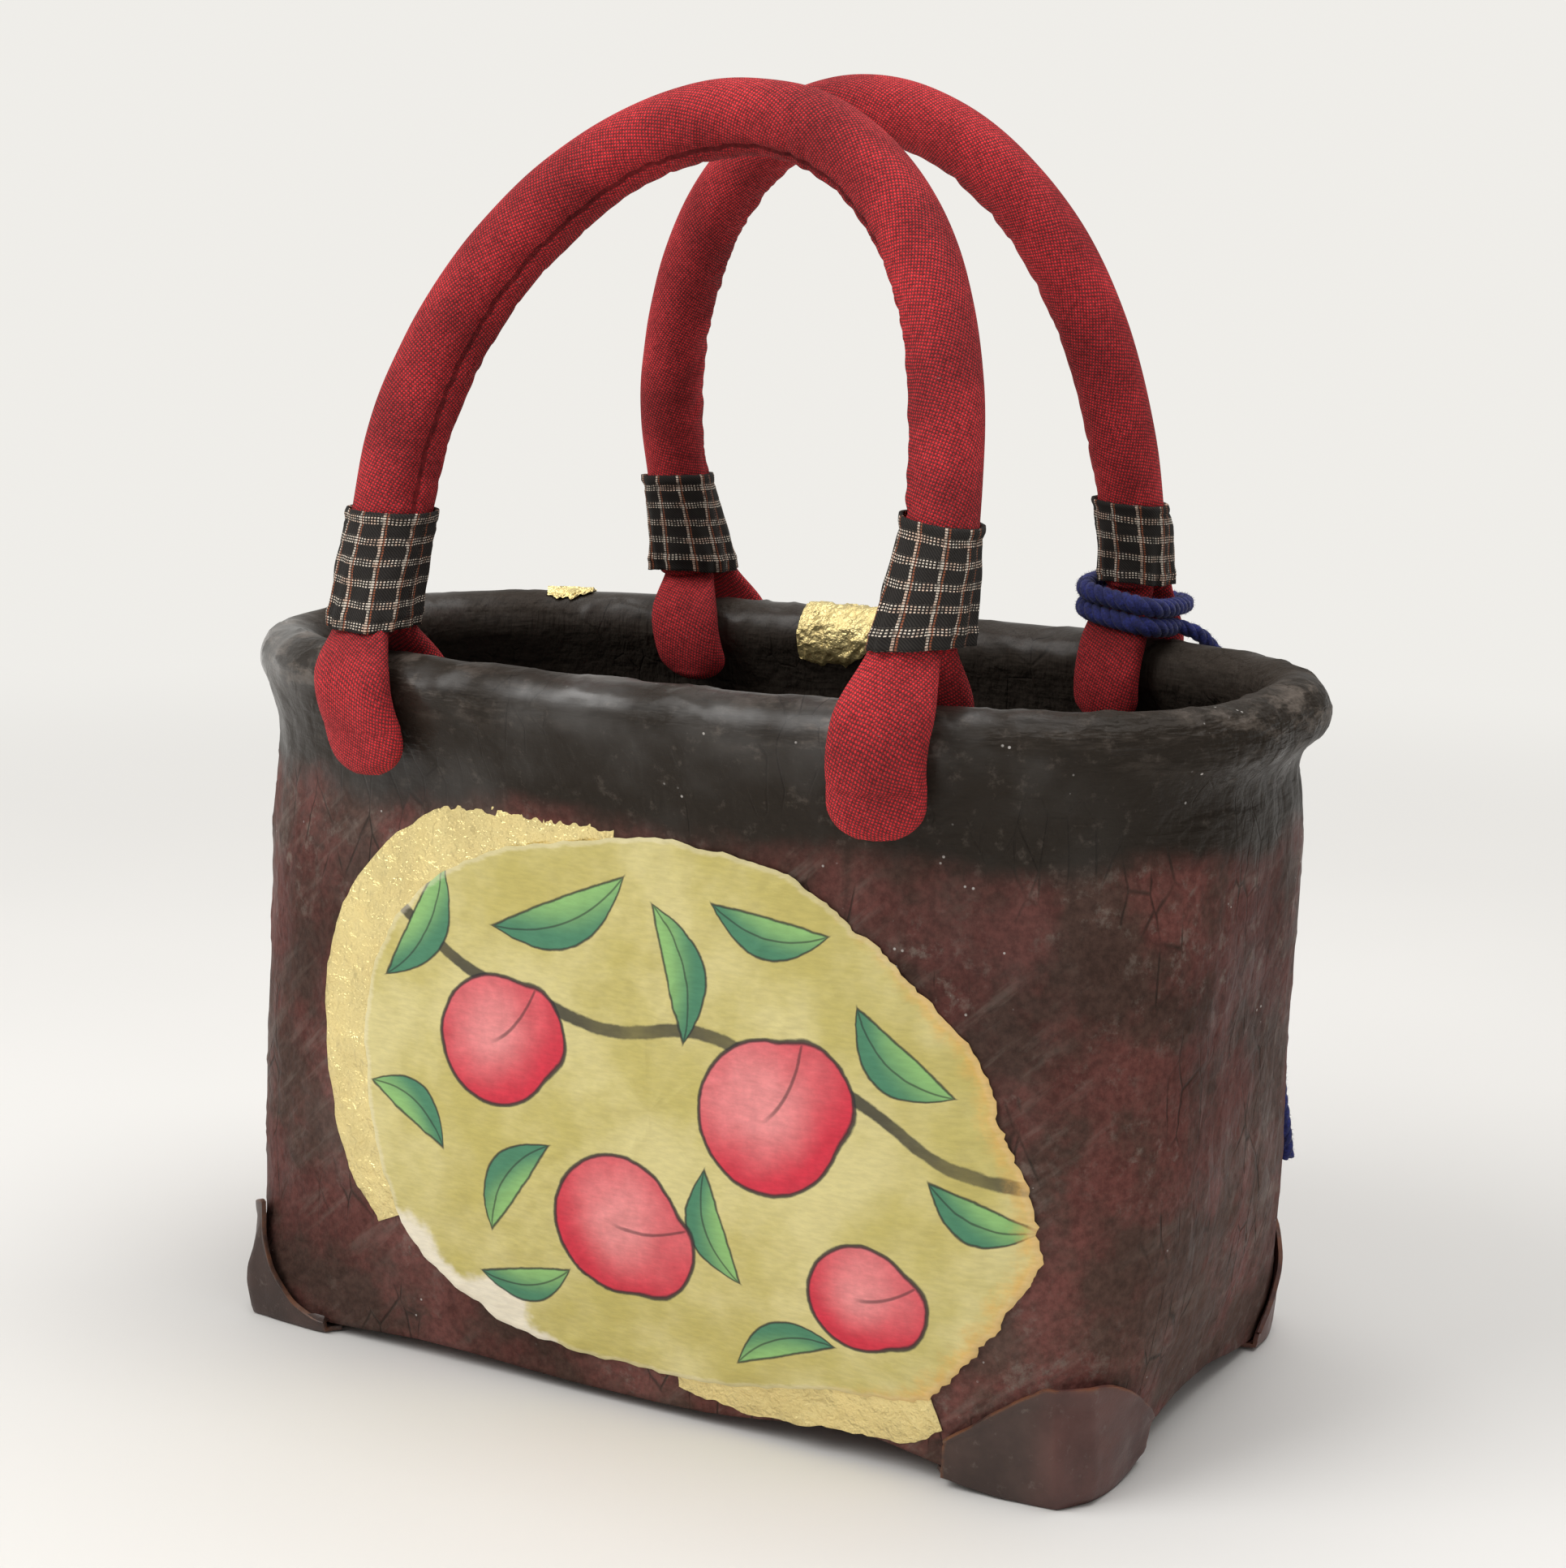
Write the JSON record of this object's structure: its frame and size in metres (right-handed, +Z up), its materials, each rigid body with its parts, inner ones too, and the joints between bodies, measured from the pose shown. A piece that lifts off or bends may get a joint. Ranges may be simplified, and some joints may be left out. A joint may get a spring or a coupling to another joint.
{
  "type": "lacquered paper handbag",
  "caption": "Small stiff handbag of lacquered paper over a bamboo hoop, with leaning padded cloth handles, plaid cuffs, capped corners and a torn painted panel on the front.",
  "frame": {"origin": "on the ground under the middle of the base", "axes": "+X to the right along the bag seen from the front, +Y to the back, +Z up"},
  "size_m": [0.3194, 0.2024, 0.3662],
  "materials": {
    "body_paper": "semi-gloss lacquered paper, brown and maroon",
    "rim_paper": "semi-gloss black lacquered paper",
    "cap_leather": "smooth dark brown leather",
    "handle_cloth": "plain woven crimson and black cotton",
    "cuff_plaid": "black twill with cream and rust checks",
    "yarn": "navy twisted yarn",
    "panel_paper": "painted handmade paper, matt",
    "gold_leaf": "crumpled gold leaf"
  },
  "bodies": {
    "root": {"paper_body": "body_paper", "rim_hoop": "rim_paper", "front_left_cap": "cap_leather", "front_right_cap": "cap_leather", "back_left_cap": "cap_leather", "back_right_cap": "cap_leather", "front_handle": "handle_cloth", "back_handle": "handle_cloth", "front_left_cuff": "cuff_plaid", "front_right_cuff": "cuff_plaid", "back_left_cuff": "cuff_plaid", "back_right_cuff": "cuff_plaid", "yarn_tie": "yarn", "yarn_tail": "yarn", "front_panel": "panel_paper", "gold_crescent": "gold_leaf", "gold_strip": "gold_leaf", "gold_leaf_inside": "gold_leaf", "gold_leaf_crest": "gold_leaf"}
  },
  "joints": []
}
